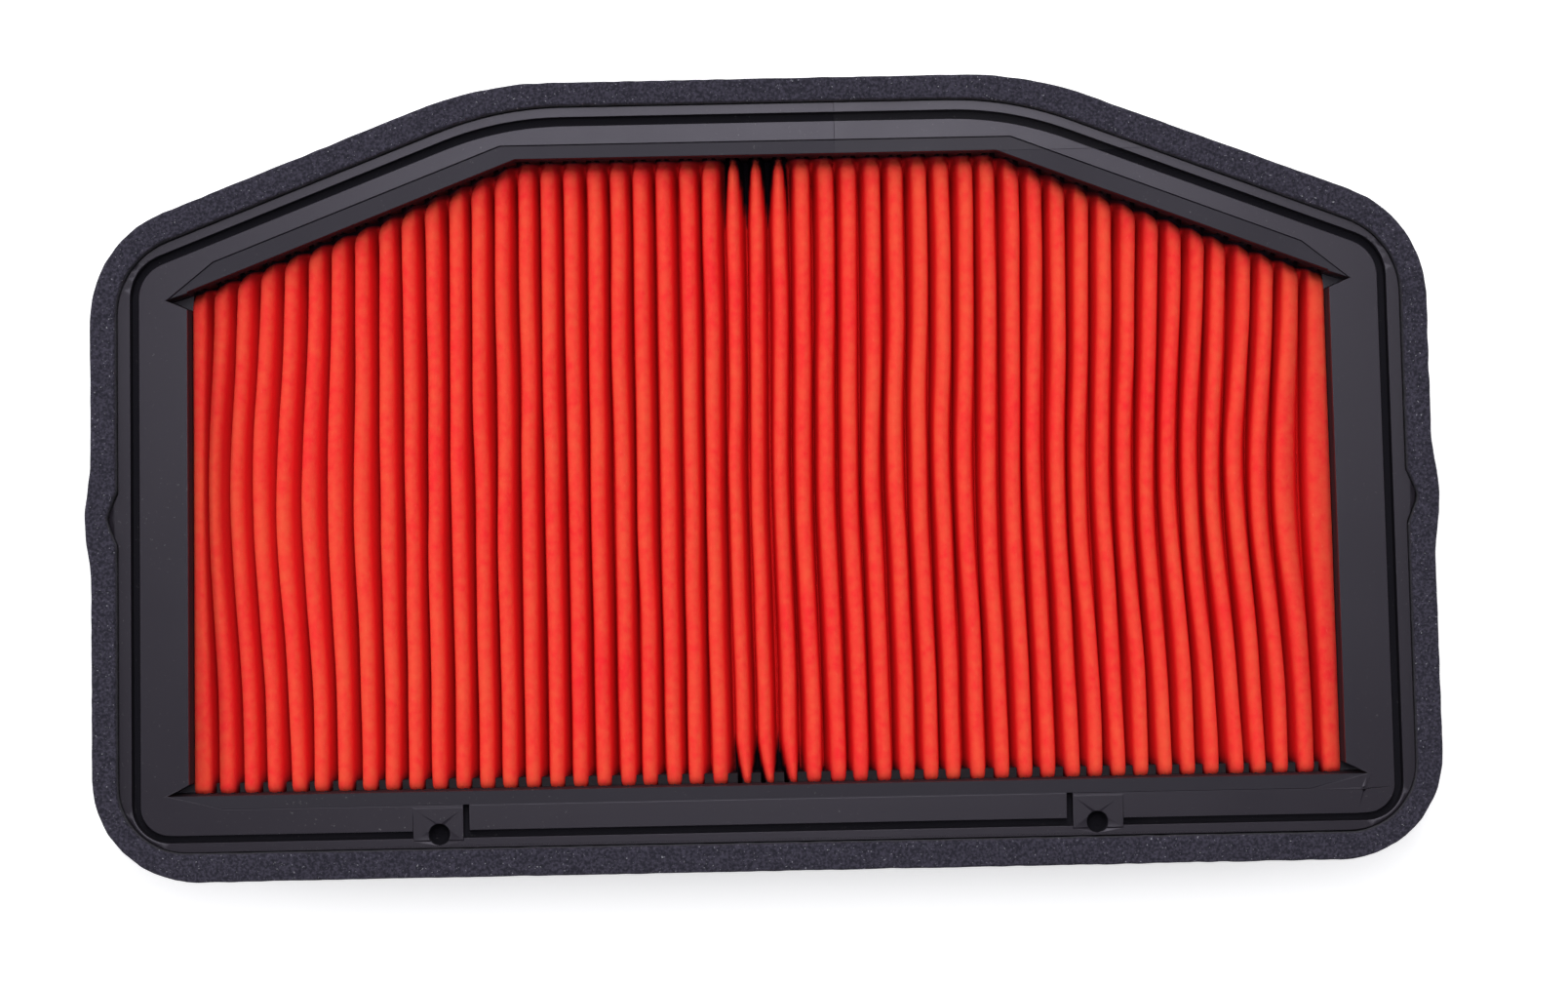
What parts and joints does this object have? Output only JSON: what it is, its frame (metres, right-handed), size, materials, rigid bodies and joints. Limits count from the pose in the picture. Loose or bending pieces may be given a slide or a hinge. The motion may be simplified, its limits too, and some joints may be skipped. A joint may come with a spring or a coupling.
{
  "type": "panel air filter",
  "caption": "Flat motorcycle air filter: red pleated media held in a tapered black frame, with a foam gasket round the flange and a grid and wire screen on the clean side.",
  "frame": {"origin": "centre of the outline, on the lowest face of the clean side", "axes": "+Z towards the dirty side and the air box lid, +X along the length, +Y towards the tapered back edge"},
  "size_m": [0.324, 0.1896, 0.038],
  "materials": {
    "frame_plastic": "black moulded polypropylene with a satin skin",
    "foam": "matt closed-cell foam with fine pores",
    "media": "red oiled nonwoven felt",
    "compound": "black sealing compound, satin",
    "adhesive": "milky hot-melt adhesive and double-sided tape",
    "wire": "plain woven steel wire"
  },
  "bodies": {
    "root": {"upper_frame": "frame_plastic", "lower_frame": "frame_plastic", "foam_gasket": "foam", "gasket_tape": "adhesive", "pleated_media": "media", "back_pleat_seal": "compound", "front_pleat_seal": "compound", "left_end_bond": "compound", "right_end_bond": "compound", "spacer_beads": "adhesive", "flame_screen": "wire", "support_grid": "frame_plastic"}
  },
  "joints": []
}
